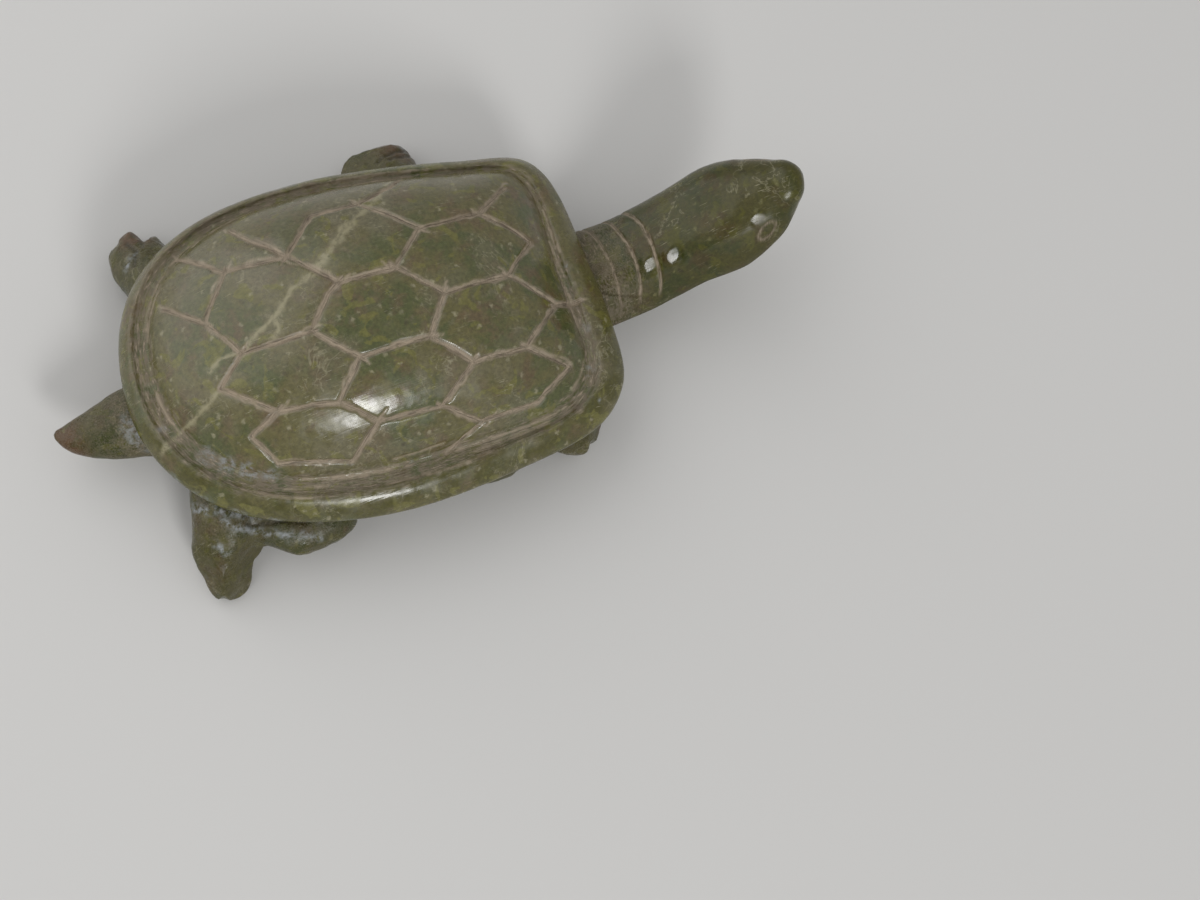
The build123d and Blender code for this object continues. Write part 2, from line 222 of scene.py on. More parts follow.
# The pattern: each row names its result, its step and what goes in. EASE takes a source, where it
# starts and ends, and the values there. MORE adds a share of its first source to its last.
PATTERN = [
    # Mottling: patches, clouds and specks of other colours, and where the carving bares them
    ("moss share", EASE, "patches", 0.44, 0.58, 0.0, 1.0),
    ("clay share", EASE, "drifts", 0.48, 0.66, 0.0, 0.8),
    ("ash share", EASE, "speckle", 0.54, 0.70, 0.0, 0.55),
    ("grey clouds", EASE, "greys", 0.46, 0.62, 0.0, 0.55),
    # More grey clouds towards the far rear of the dome: a painted sheen from the ceiling light
    ("grey clouds", PLUS, "grey clouds", "ashen"),
    ("grey share", EASE, "grey clouds", 0.0, 1.0, 0.0, 0.85),
    ("yellow clouds", EASE, "yellows", 0.36, 0.6, 0.25, 1.0),
    # Amber and glow: yellower stone, partly a painted glow of light through the brim
    ("amber share", TIMES, "amber", "yellow clouds"),
    ("lichen share", EASE, "greens", 0.57, 0.62, 0.0, 0.65),
    ("brown clouds", EASE, "browns", 0.30, 0.50, 0.0, 1.0),
    ("rust share", TIMES, "rust", "brown clouds"),
    # Flecks and pits: a cell's middle, in the few cells that chance picks
    ("fleck", EASE, "fleck gap", 0.36, 0.08, 0.0, 1.0),
    ("fleck pick", EASE, "fleck chance", 0.66, 0.86, 0.0, 1.0),
    ("fleck", TIMES, "fleck", "fleck pick"),
    ("fleck share", TIMES, "fleck", 0.60),
    ("pit", EASE, "pit gap", 0.36, 0.08, 0.0, 1.0),
    ("pit pick", EASE, "pit chance", 0.78, 0.98, 0.0, 1.0),
    ("pit", TIMES, "pit", "pit pick"),
    ("pit share", TIMES, "pit", 0.60),
    # Hair veins where a broad noise crosses its middle value
    ("crossing", MINUS, "threads", 0.5),
    ("crossing", SIZE, "crossing"),
    ("thread", EASE, "crossing", 0.012, 0.0, 0.0, 1.0),
    ("thinned", EASE, "thinning", 0.48, 0.60, 0.0, 1.0),
    ("hair", TIMES, "thread", "thinned"),
    ("hair share", TIMES, "hair", 0.40),
    # Stray nicks, most of them where the stone is worn, and the long fine marks of rubbing
    ("nicks", MOST, "nick 0", "nick 1"),
    ("nicks", MOST, "nicks", "nick 2"),
    ("nicks", EASE, "nicks", 0.70, 0.78, 0.0, 1.0),
    ("worn", EASE, "wear", 0.50, 0.66, 0.0, 1.0),
    ("worn", PLUS, "worn", "band"),
    ("worn", EASE, "worn", 0.0, 1.0, 0.15, 0.9),
    ("nick share", TIMES, "nicks", "worn"),
    ("rubbed", PLUS, "rub 0", "rub 1"),
    ("rubbed", PLUS, "rubbed", "rub 2"),
    ("shade", EASE, "grain", 0.25, 0.75, 0.77, 1.23),
    ("curd", EASE, "curds", 0.30, 0.56, 0.15, 0.9),
    ("vein share", TIMES, "vein", "curd"),
    # Strokes of the scraper along the rim
    ("patchy", TIMES, "speckle", 0.5),
    ("patchy", MORE, "strokes", 0.7, "patchy"),
    ("patchy", EASE, "patchy", 0.50, 0.68, 0.05, 1.0),
    ("scraped", TIMES, "band", "patchy"),
    ("scrape share", TIMES, "scraped", 0.85),
    ("bright", EASE, "strokes", 0.60, 0.70, 0.0, 0.6),
    ("bright share", TIMES, "scraped", "bright"),
    # Bruised stone in each line: pale scratches along it with a darker floor between
    ("frayed", EASE, "fray", 0.30, 0.55, 0.35, 1.0),
    ("bruise", TIMES, "cut", "frayed"),
    ("pale", EASE, "bruising", 0.36, 0.58, 0.0, 1.0),
    ("pale share", TIMES, "bruise", "pale"),
    ("broken", EASE, "speckle", 0.35, 0.55, 0.4, 1.0),
    ("stroke share", TIMES, "stroke", "broken"),
    ("chalky", EASE, "chalk", 0.40, 0.66, 0.0, 0.85),
    ("dust share", TIMES, "dust", "chalky"),
    # Matte where the stone is scraped, bruised, dusty, nicked or dulled, and polished elsewhere
    ("matte", MOST, "scraped", "bruise"),
    ("matte", MOST, "matte", "dust share"),
    ("matte", MOST, "matte", "nick share"),
    ("matte", MOST, "matte", "dull"),
    ("gloss", EASE, "polish", 0.3, 0.7, "least gloss", "most gloss"),
    # Relief too fine for the mesh
    ("relief", TIMES, "grain", 0.25),
    ("relief", MORE, "rubbed", 0.22, "relief"),
    ("relief", MORE, "nick share", -0.8, "relief"),
    ("ridges", TIMES, "scraped", "strokes"),
    ("relief", MORE, "ridges", 3.0, "relief"),
    ("furrows", TIMES, "cut", "bruising"),
    ("relief", MORE, "furrows", 2.2, "relief"),
    ("relief", MORE, "dust share", 1.5, "relief"),
]

# Colours laid over the olive, in order: share, colour, and whether the limbs' tint changes it.
# The row with no colour is the crystal grain, which shades what lies under it.
LAYERS = [
    ("moss share", "moss", True), ("clay share", "clay", True), ("ash share", "ash", True),
    # The amber row is yellower stone and a painted glow of light through the brim
    ("grey share", "ash", True), ("amber share", "amber", False), ("lichen share", "lichen", True),
    # The crease row is painted shade in the legs' creases
    ("rust share", "rust", False), ("crease", "pit", True), ("fleck share", "fleck", True),
    ("pit share", "pit", True), ("hair share", "fleck", False), ("nick share", "fleck", False),
    ("whole", None, False), ("vein share", "vein", False), ("scrape share", "scrape", False),
    ("bright share", "scratch", False), ("bruise", "furrow", False),
    ("pale share", "scratch", False), ("stroke share", "scratch", False),
    ("dust share", "dust", False),
]


def length(name, text, default):
    """A length that a user may change, in metres."""
    return FloatProperty(name=name, description=text, default=default * MM, min=0.0,
                         precision=5, unit="LENGTH")


def colour(name, text, code):
    """A colour that a user may change, from its sRGB hex code."""
    return FloatVectorProperty(name=name, description=text, default=linear(code)[:3],
                               subtype="COLOR", size=3, min=0.0, max=1.0)


def linear(code):
    """Linear colour with full alpha from an sRGB hex code."""
    channels = []
    for place in (0, 2, 4):
        value = int(code[place:place + 2], 16) / 255
        value = value / 12.92 if value <= 0.04045 else ((value + 0.055) / 1.055) ** 2.4
        channels.append(value)
    return (*channels, 1.0)


class TurtleShellSizes(bpy.types.PropertyGroup):
    crown_height: length("Crown height", "Top of the dome above the table", 22.0)
    rim_underside: length("Rim underside", "Underside of the shell above the table", 9.3)
    rim_edge: length("Rim edge", "Outer edge of the brim above the table", 11.8)
    rim_inner: length("Rim inner edge", "Inner edge of the brim above the table", 12.8)
    brim_width: length("Brim width", "Middle width of the sloping brim", 2.2)
    brim_bias: length("Brim bias", "How much the brim is wider on the right side", 0.65)
    channel_width: length("Channel width", "Middle width of the scraped channel", 1.55)
    channel_bias: length("Channel bias", "How much the channel is wider on the right side", 0.6)
    dome_sink: length("Dome sink", "How far the dome's curve runs on below its foot", 6.3)
    dome_power: FloatProperty(name="Dome power", default=2.2, min=1.5, max=4.0,
                              description="2 for an ellipse, more for a flatter crown")
    grid_steps: IntProperty(name="Grid steps", description="Divisions across the dome",
                            default=236, min=8)
    rim_rings: IntProperty(name="Rim rings", default=34, min=8,
                           description="Rings from the dome's foot inwards under the rim")


class TurtleLimbSizes(bpy.types.PropertyGroup):
    neck_root: length("Neck root", "Root of the neck ahead of the shell's middle", 18.0)
    snout_reach: length("Snout reach", "Snout ahead of the shell's middle", 53.3)
    neck_height: length("Neck height", "Middle of the neck's root above the table", 5.2)
    snout_rise: length("Snout rise", "How much the snout is higher than that", 14.8)
    neck_width: length("Neck width", "Width of the neck", 12.2)
    neck_thickness: length("Neck thickness", "Thickness of the neck", 9.4)
    head_bulge: length("Head bulge", "How much the left side of the head is fuller", 0.45)
    tail_root: length("Tail root", "Root of the tail behind the shell's middle", 17.0)
    tail_reach: length("Tail reach", "Tip of the tail behind the shell's middle", 36.0)
    tail_drift: length("Tail drift", "How much the tip turns to the left", 2.7)
    tail_width: length("Tail width", "Width of the tail", 7.8)
    tail_thickness: length("Tail thickness", "Thickness of the tail", 6.2)


class TurtleCarvingSizes(bpy.types.PropertyGroup):
    line_width: length("Line width", "Width of a scratched scute line", 0.58)
    line_depth: length("Line depth", "Depth of a scratched scute line", 0.30)
    vein_width: length("Vein width", "Width of the pale vein", 0.66)
    ring_width: length("Ring width", "Width of a ring round the neck", 0.36)
    ring_depth: length("Ring depth", "Depth of a ring round the neck", 0.20)
    eye_length: length("Eye length", "Length of an eye ring along the head", 2.6)
    eye_height: length("Eye height", "Height of an eye ring across the head", 1.5)


class TurtleStoneColours(bpy.types.PropertyGroup):
    olive: colour("Olive", "Main colour of the stone", "605b37")
    moss: colour("Moss", "Greener patches", "505431")
    clay: colour("Clay", "Browner clouds", "62523b")
    # Ash is also laid over the far rear of the dome as a painted sheen
    ash: colour("Ash", "Greyer patches", "6c664f")
    fleck: colour("Fleck", "Small pale flecks", "9a947a")
    # The pit colour is also laid in the legs' creases as painted shade
    pit: colour("Pit", "Small dark specks", "443e2b")
    vein: colour("Vein", "The pale vein", "958e70")
    scratch: colour("Scratch", "Stone bruised by the scriber", "a69782")
    furrow: colour("Furrow", "Darker floor of a scratched line", "66594c")
    scrape: colour("Scrape", "Matte scraped channel", "776c5c")
    # Amber: yellower stone, and a painted glow of light through the thin brim on its lit side
    amber: colour("Amber", "Yellower stone at the brim", "4a4718")
    lichen: colour("Lichen green", "Small yellow-green patches", "6d6a35")
    rust: colour("Rust", "Browner stone at the ends of the limbs", "523c25")
    dust: colour("Dust", "Chalky dust left in the corners", "999d9f")


class TurtleStageSettings(bpy.types.PropertyGroup):
    board: colour("Board", "Pale board under the turtle", "d4d3d1")
    board_size: FloatProperty(name="Board size", description="Side of the pale board",
                              default=3.0, unit="LENGTH")
    world_level: FloatProperty(name="Room light", description="Even light of the room",
                               default=0.44, min=0.0)
    key_power: FloatProperty(name="Window power", description="Power of the window light",
                             default=3.5, min=0.0, unit="POWER")
    top_power: FloatProperty(name="Ceiling power", description="Power of the ceiling light",
                             default=1.70, min=0.0, unit="POWER")


@contextmanager
def editing(piece, chosen=None):
    """Edit mode on one piece, with the edges selected that lie between the chosen vertices."""
    bpy.ops.object.select_all(action="DESELECT")
    piece.select_set(True)
    bpy.context.view_layer.objects.active = piece
    bpy.context.tool_settings.mesh_select_mode = (False, True, False)
    if chosen is None:
        chosen = np.ones(len(piece.data.vertices), dtype=bool)
    ends = np.zeros(len(piece.data.edges) * 2, dtype=int)
    piece.data.edges.foreach_get("vertices", ends)
    piece.data.vertices.foreach_set("select", chosen)
    piece.data.edges.foreach_set("select", chosen[ends.reshape(-1, 2)].all(1))
    piece.data.polygons.foreach_set("select", np.full(len(piece.data.polygons), chosen.all()))
    bpy.ops.object.mode_set(mode="EDIT")
    yield
    bpy.ops.object.mode_set(mode="OBJECT")


def extrude_rings(count):
    """Extrudes the selected open edge downwards, one unit at a time."""
    for _ in range(count):
        bpy.ops.mesh.extrude_region_move(TRANSFORM_OT_translate={"value": (0.0, 0.0, -1.0)})


def face_outwards(piece):
    """Turns every face of a closed piece outwards."""
    with editing(piece):
        bpy.ops.mesh.normals_make_consistent(inside=False)


def finish_piece(piece, nodes, material):
    """Smooth shading, material, body, node and slot of a finished stone."""
    face_outwards(piece)
    bpy.ops.object.shade_smooth()
    piece.data.materials.clear()
    piece.data.materials.append(material)
    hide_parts(*nodes)
    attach(piece, "root")


def mesh_array(piece, group, field):
    """One vector field of a piece's elements as an array."""
    elements = getattr(piece.data, group)
    values = np.zeros(len(elements) * 3)
    elements.foreach_get(field, values)
    return values.reshape(-1, 3)


def shape_of(piece):
    """Vertex places of a piece, in metres, and vertex normals."""
    return mesh_array(piece, "vertices", "co"), mesh_array(piece, "vertex_normals", "vector")


def set_places(piece, places):
    """Moves the vertices of a piece."""
    piece.data.vertices.foreach_set("co", places.ravel())
    piece.data.update()


def set_masks(piece, **masks):
    """Keeps numbers, or vectors, per vertex for the materials to read."""
    for name, values in masks.items():
        kind, field = ("FLOAT", "value") if values.ndim == 1 else ("FLOAT_VECTOR", "vector")
        attribute = piece.data.attributes.new(name, kind, "POINT")
        attribute.data.foreach_set(field, values.ravel())


def lengths(vectors):
    """Length of each vector."""
    return np.linalg.norm(vectors, axis=-1)


def unit(vectors):
    """Each vector at a length of one."""
    vectors = np.asarray(vectors)
    return vectors / lengths(vectors)[..., None]


def fade(start, end, values):
    """Smooth change from 0 at the start to 1 at the end."""
    share = np.clip((values - start) / (end - start), 0.0, 1.0)
    return share * share * (3 - 2 * share)


def ripples(places, size, seed):
    """Fractal noise at each place, of that size in metres, from about -1 to 1."""
    shift = Vector((seed * 7.31, seed * 3.17, seed * 5.73))
    return np.array([noise.fractal(Vector(p) + shift, 1.0, 2.0, 3) for p in places / size])


def hermite(share, start, lead, end, trail):
    """Points on the smooth curve between two points with those slopes."""
    square, cube = share**2, share**3
    return ((2 * cube - 3 * square + 1) * start + (cube - 2 * square + share) * lead
            + (3 * square - 2 * cube) * end + (cube - square) * trail)


def closed_curve(points, angles):
    """Distance from the middle at each angle of a smooth closed curve through points."""
    ring = np.array(points)
    steps = 40
    shares = (np.arange(steps) / steps)[:, None]
    path = []
    for index in range(len(ring)):
        before, start, end, after = (ring[(index + step) % len(ring)] for step in (-1, 0, 1, 2))
        span0, span1, span2 = lengths(start - before), lengths(end - start), lengths(after - end)
        lead = span1 * ((end - before) / (span0 + span1))
        trail = span1 * ((after - start) / (span1 + span2))
        path.append(hermite(shares, start, lead, end, trail))
    path = np.vstack(path)
    turns = np.arctan2(path[:, 1], path[:, 0])
    order = np.argsort(turns)
    return np.interp(angles, turns[order], lengths(path)[order], period=2 * math.pi)


def rounded(points, rounds):
    """Open run of points with its corners cut, again and again, until it is smooth."""
    run = np.array(points, dtype=float)
    for _ in range(rounds):
        near = run[:-1] * 0.75 + run[1:] * 0.25
        far = run[:-1] * 0.25 + run[1:] * 0.75
        between = np.stack([near, far], axis=1).reshape(-1, run.shape[1])
        run = np.vstack([run[:1], between, run[-1:]])
    return run


def even(run, count, spread=None):
    """The same run with count points, evenly spaced along it or along its spread."""
    spans = lengths(np.diff(run if spread is None else spread, axis=0))
    along = np.concatenate([[0.0], np.cumsum(spans)])
    wanted = np.linspace(0.0, along[-1], count)
    return np.stack([np.interp(wanted, along, run[:, axis]) for axis in range(run.shape[1])], 1)


def eased(table, count):
    """Columns of a station table with count rows, on smooth curves through the given rows."""
    rows = np.array(table)
    runs = rows[:, 0]
    wanted = np.linspace(runs[0], runs[-1], count)
    slopes = np.gradient(rows, runs, axis=0)
    spot = np.clip(np.searchsorted(runs, wanted) - 1, 0, len(runs) - 2)
    span = (runs[spot + 1] - runs[spot])[:, None]
    share = (wanted - runs[spot])[:, None] / span
    return hermite(share, rows[spot], span * slopes[spot],
                   rows[spot + 1], span * slopes[spot + 1]).T


def surface_of(piece):
    """Search tree of a piece's surface."""
    return BVHTree.FromObject(piece, bpy.context.evaluated_depsgraph_get())


def scribed(tree, plan, wobble, overrun, seed, lowest=8 * MM):
    """Samples of a line laid on a surface from above: place, heading and run."""
    corners = np.array(plan)
    corners[0] += unit(corners[0] - corners[1]) * overrun
    corners[-1] += unit(corners[-1] - corners[-2]) * overrun
    reach = lengths(np.diff(corners, axis=0)).sum()
    places = []
    for index, (x, y) in enumerate(even(corners, max(int(reach / LINE_STEP), 3))):
        run = index * LINE_STEP
        start = Vector((x, y, 0.1))
        for size, share, first, second in ((4 * MM, 1.0, 0.3, 9.1), (1 * MM, 0.4, 5.3, 3.1)):
            sway = [noise.noise((run / size, seed, place)) for place in (first, second)]
            start += Vector((*sway, 0)) * share * wobble
        place, _, _, _ = tree.ray_cast(start, Vector((0, 0, -1)))
        if place is not None and place.z > lowest:
            places.append(place)
    if len(places) < 2:
        raise ValueError(f"The line from {plan[0]} misses the stone")
    places = np.array(places)
    spans = lengths(np.diff(places, axis=0))
    return places, unit(np.gradient(places, axis=0)), np.concatenate([[0.0], np.cumsum(spans)])


def nearest_line(places, normals, lines, reach):
    """Distance to the nearest line, signed distance aside and run along it, for each place."""
    spots = np.vstack([line[0] for line in lines])
    headings = np.vstack([line[1] for line in lines])
    runs = np.concatenate([line[2] + 50 * MM * index for index, line in enumerate(lines)])
    tree = KDTree(len(spots))
    for index, spot in enumerate(spots):
        tree.insert(spot, index)
    tree.balance()
    distance = np.full(len(places), reach * 4)
    aside = np.full(len(places), reach * 4)
    run = np.zeros(len(places))
    for index, place in enumerate(places):
        _, best, gap = tree.find(place)
        if gap > reach:
            continue
        offset = place - spots[best]
        along = float(offset @ headings[best])
        across = float(offset @ np.cross(normals[index], headings[best]))
        distance[index] = math.hypot(across, max(abs(along) - 0.1 * MM, 0.0))
        aside[index] = across
        run[index] = runs[best] + along
    return distance, aside, run


def dusted(places, spots):
    """Nearness to spots: x, y, z and radius in millimetres, and strength."""
    total = np.zeros(len(places))
    for *centre, radius, share in spots:
        gap = lengths(places - np.array(centre) * MM)
        total = np.maximum(total, share * fade(radius * MM, 0.3 * radius * MM, gap))
    return total


def add_node(tree, kind, sockets=None, output=0, **settings):
    """Adds a node with its settings and its sockets' values or links, and gives one output."""
    node = tree.nodes.new(kind)
    for name, value in settings.items():
        setattr(node, name, value)
    for socket, source in (sockets or {}).items():
        if isinstance(source, bpy.types.NodeSocket):
            tree.links.new(source, node.inputs[socket])
        else:
            node.inputs[socket].default_value = source
    return node.outputs[output] if node.outputs else None


def per_mm(size):
    """Texture scale on object coordinates for features of that many millimetres."""
    return 1.0 / (size * MM)


def new_material(name):
    """An empty material with its node tree."""
    material = bpy.data.materials.new(name)
    material.use_nodes = True
    material.node_tree.nodes.clear()
    return material, material.node_tree


def serpentine(name, gloss, shine, tint):
    """Mottled green serpentine, rubbed to a polish, with bruised lines and dusty corners."""
    tones = bpy.context.scene.turtle_colours
    material, tree = new_material(name)
    coords = add_node(tree, "ShaderNodeTexCoord", None, "Object")
    wires = {"least gloss": gloss - 0.05, "most gloss": gloss + 0.16, "whole": 1.0}
    for label in ("amber", "ashen", "band", "crease", "cut", "dull", "dust", "rust", "stroke",
                  "vein"):
        wires[label] = add_node(tree, "ShaderNodeAttribute", None, "Fac", attribute_name=label)
    spaces = {}
    for label, space in (("strokes", "ring_space"), ("bruising", "cut_space")):
        spaces[label] = add_node(tree, "ShaderNodeAttribute", None, "Vector", attribute_name=space)
    for label, (size, detail, rough, warp) in CLOUDS.items():
        wires[label] = add_node(tree, "ShaderNodeTexNoise", {
            "Vector": spaces.get(label, coords), "Scale": per_mm(size), "Detail": detail,
            "Roughness": rough, "Distortion": warp})

    # Cells for the flecks and pits of about half a millimetre, pulled out of round by a fine noise
    pull = add_node(tree, "ShaderNodeTexNoise", {"Vector": coords, "Scale": per_mm(0.5)}, "Color")
    pulled = add_node(tree, "ShaderNodeVectorMath", {0: pull, 1: (0.9 * MM,) * 3, 2: coords},
                      operation="MULTIPLY_ADD")
    for label, size in (("fleck", 1.1), ("pit", 1.4)):
        gap = add_node(tree, "ShaderNodeTexVoronoi",
                       {"Vector": pulled, "Scale": per_mm(size)}, "Distance")
        wires[label + " gap"] = gap
        wires[label + " chance"] = add_node(tree, "ShaderNodeSeparateColor",
                                            {"Color": gap.node.outputs["Color"]})

    # Noises stretched three ways, for nicks a millimetre or two long and for long marks of rubbing
    for index, turn in enumerate((0.25, 1.15, 2.35)):
        for label, long, across in (("nick", 1.6, 0.11), ("rub", 6.0, 0.14)):
            turned = add_node(tree, "ShaderNodeMapping", {
                "Vector": coords, "Rotation": (0.0, 0.0, turn), "Location": (turn, across, 0.0),
                "Scale": (per_mm(long), per_mm(across), per_mm(2.0))})
            wires[f"{label} {index}"] = add_node(tree, "ShaderNodeTexNoise", {
                "Vector": turned, "Scale": 1.0, "Detail": 1.0, "Roughness": 0.5})

    for label, (kind, settings), *sources in PATTERN:
        sockets = {place: wires[source] if isinstance(source, str) else source
                   for place, source in enumerate(sources)}
        wires[label] = add_node(tree, kind, sockets, **settings)
    tone = (*(channel * share for channel, share in zip(tones.olive, tint)), 1.0)
    for share, paint, limb in LAYERS:
        over = wires["shade"]
        if paint:
            shades = tint if limb else (1.0, 1.0, 1.0)
            over = (*(channel * part for channel, part in zip(getattr(tones, paint), shades)), 1.0)
        tone = add_node(tree, "ShaderNodeMix", {0: wires[share], 6: tone, 7: over}, 2,
                        data_type="RGBA", blend_type="MIX" if paint else "MULTIPLY")
    rough = add_node(tree, "ShaderNodeMix", {0: wires["matte"], 2: wires["gloss"], 3: 0.80})
    bump = add_node(tree, "ShaderNodeBump",
                    {"Strength": 1.0, "Distance": 0.02 * MM, "Height": wires["relief"]})
    surface = add_node(tree, "ShaderNodeBsdfPrincipled", {
        "IOR": 1.56, "Specular IOR Level": shine, "Base Color": tone, "Roughness": rough,
        "Normal": bump})
    add_node(tree, "ShaderNodeOutputMaterial", {"Surface": surface})
    return material


def shell_stone():
    """The shell's material, made once: rubbed until the window shows sharp in it."""
    name = "polished serpentine"
    return bpy.data.materials.get(name) or serpentine(name, 0.20, 0.50, (1.0, 1.0, 1.0))


def limb_stone():
    """The limbs' material, made once: darker and greener, with a weaker shine."""
    name = "satin serpentine"
    return bpy.data.materials.get(name) or serpentine(name, 0.19, 0.30, (0.51, 0.52, 0.32))


def shell_frame():
    """Middle of the shell's shares, and its half length and half width, from the CAD box."""
    low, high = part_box("carapace")
    turns = np.linspace(-math.pi, math.pi, 721)
    radii = closed_curve(OUTLINE, turns)
    shares = np.stack([radii * np.cos(turns), radii * np.sin(turns)], 1)
    least, most = shares.min(0), shares.max(0)
    half = (np.array(high[:2]) - np.array(low[:2])) / (most - least)
    return np.array(low[:2]) - least * half, half


def rim_at(turn):
    """Middle of the shell, and the direction, distance and radius share of its rim at each turn."""
    middle, half = shell_frame()
    radius = closed_curve(OUTLINE, turn)
    spoke = np.stack([half[0] * np.cos(turn), half[1] * np.sin(turn)], 1)
    return middle, unit(spoke), radius * lengths(spoke), radius


def on_dome(shares):
    """Plan places of points given as shares of the dome's half sizes."""
    middle, half = shell_frame()
    dome = half - 4.1 * MM
    return [middle + (0.0, 0.5 * MM) + dome * np.array(point) for point in shares]


def margins(turn, sizes):
    """Widths of the brim and the channel at each turn round the shell."""
    ahead, left = np.cos(turn), np.sin(turn)
    brim = sizes.brim_width + (0.45 * ahead + 1.0 * np.maximum(ahead, 0) ** 3) * MM
    channel = sizes.channel_width - 0.50 * MM * ahead - sizes.channel_bias * left
    return brim - sizes.brim_bias * left, channel


def shell_places(flat, sizes):
    """Places of the shell's grid and rings, with the turn, distance in and ring of each."""
    x, y, level = flat.T
    wide = np.abs(x) > np.abs(y)
    reach = np.where(wide, x, y)
    safe = np.where(np.abs(reach) < 1e-9, 1.0, reach)
    slant = math.pi / 4 * np.where(wide, y, x) / safe
    share = np.abs(reach)
    turn = np.where(wide, slant, math.pi / 2 - slant)
    turn = np.where(reach < 0, turn + math.pi, turn)
    turn = np.arctan2(np.sin(turn), np.cos(turn))
    middle, ray, rim_reach, radius = rim_at(turn)
    brim, channel = margins(turn, sizes)
    floor = sizes.rim_inner - 0.45 * MM
    foot = floor + 0.35 * MM
    rise = sizes.crown_height - foot + sizes.dome_sink
    power = sizes.dome_power
    foot_share = (1 - (sizes.dome_sink / rise) ** power) ** (1 / power)

    # The sine brings the grid's lines closer together towards the foot
    spread = np.sin(share * 1.2) / math.sin(1.2)
    height = foot - sizes.dome_sink + rise * (1 - (spread * foot_share) ** power) ** (1 / power)
    up = (height - foot) / (sizes.crown_height - foot)
    round_reach = rim_reach * (1 + (1 / radius - 1) * up)
    foot_reach = round_reach * (1 - (brim + channel) / rim_reach)
    places = np.zeros((len(flat), 3))
    places[:, :2] = middle + ray * (foot_reach * spread)[:, None]
    places[:, 1] += 0.8 * MM * up
    places[:, 2] = height
    inset = (brim + channel) + (1 - share) * 18 * MM

    # Profile outwards from the dome's foot: shares of the brim and the channel, inset and height
    edge, inner, under = sizes.rim_edge, sizes.rim_inner, sizes.rim_underside
    profile = [
        (1.0, 1.0, 0.0, foot), (1.0, 0.93, 0.0, floor + 0.14 * MM),
        (1.0, 0.78, 0.0, floor + 0.02 * MM), (1.0, 0.45, 0.0, floor),
        (1.0, 0.14, 0.0, floor + 0.08 * MM), (1.0, -0.04, 0.0, inner - 0.04 * MM),
        (0.88, 0.0, 0.0, inner), (0.62, 0.0, 0.0, inner - 0.30 * MM),
        (0.32, 0.0, 0.0, edge - 0.05 * MM), (0.08, 0.0, 0.0, edge - 0.85 * MM),
        (0.0, 0.0, 0.02 * MM, edge - 1.3 * MM), (0.0, 0.0, 0.0, edge - 1.6 * MM),
        (0.0, 0.0, 0.10 * MM, under + 0.45 * MM), (0.0, 0.0, 0.50 * MM, under + 0.08 * MM),
        (0.0, 0.0, 1.5 * MM, under), (0.0, 0.0, 3.5 * MM, under), (0.0, 0.0, 7.0 * MM, under),
    ]
    smooth = rounded(profile, 3)
    hidden = np.maximum(smooth[:, 2] - 0.5 * MM, 0) * 0.8
    typical = np.stack([smooth[:, 0] * sizes.brim_width + smooth[:, 1] * sizes.channel_width
                        + smooth[:, 2] - hidden, smooth[:, 3]], 1)
    smooth = even(smooth, sizes.rim_rings + 1, typical)
    ring = np.clip(np.rint(-level), 0, sizes.rim_rings).astype(int)
    part = smooth[ring]
    depth = part[:, 0] * brim + part[:, 1] * channel + part[:, 2]
    below = ring > 0
    places[below, :2] = (middle + ray * (rim_reach - depth)[:, None])[below]
    places[below, 2] = part[below, 3]
    inset[below] = depth[below]
    return places, turn, inset, ring


def scraper_strokes():
    """Plans of the long strokes that the scraper left along the channel."""
    dice = random.Random(7)
    plans = []
    for index in range(26):
        near = index < 12
        start = dice.uniform(-2.5, -0.75) if near else dice.uniform(-0.6, 3.6)
        turn = np.linspace(start, start + dice.uniform(0.15, 0.55), 9)
        brim, channel = margins(turn, bpy.context.scene.turtle_shell)
        inset = brim + channel * dice.uniform(-0.1, 1.5 if near else 1.2)
        inset += np.linspace(0, dice.uniform(-0.4, 0.4) * MM, 9)
        middle, ray, reach, _ = rim_at(turn)
        plans.append(list(middle + ray * (reach - inset)[:, None]))
    return plans


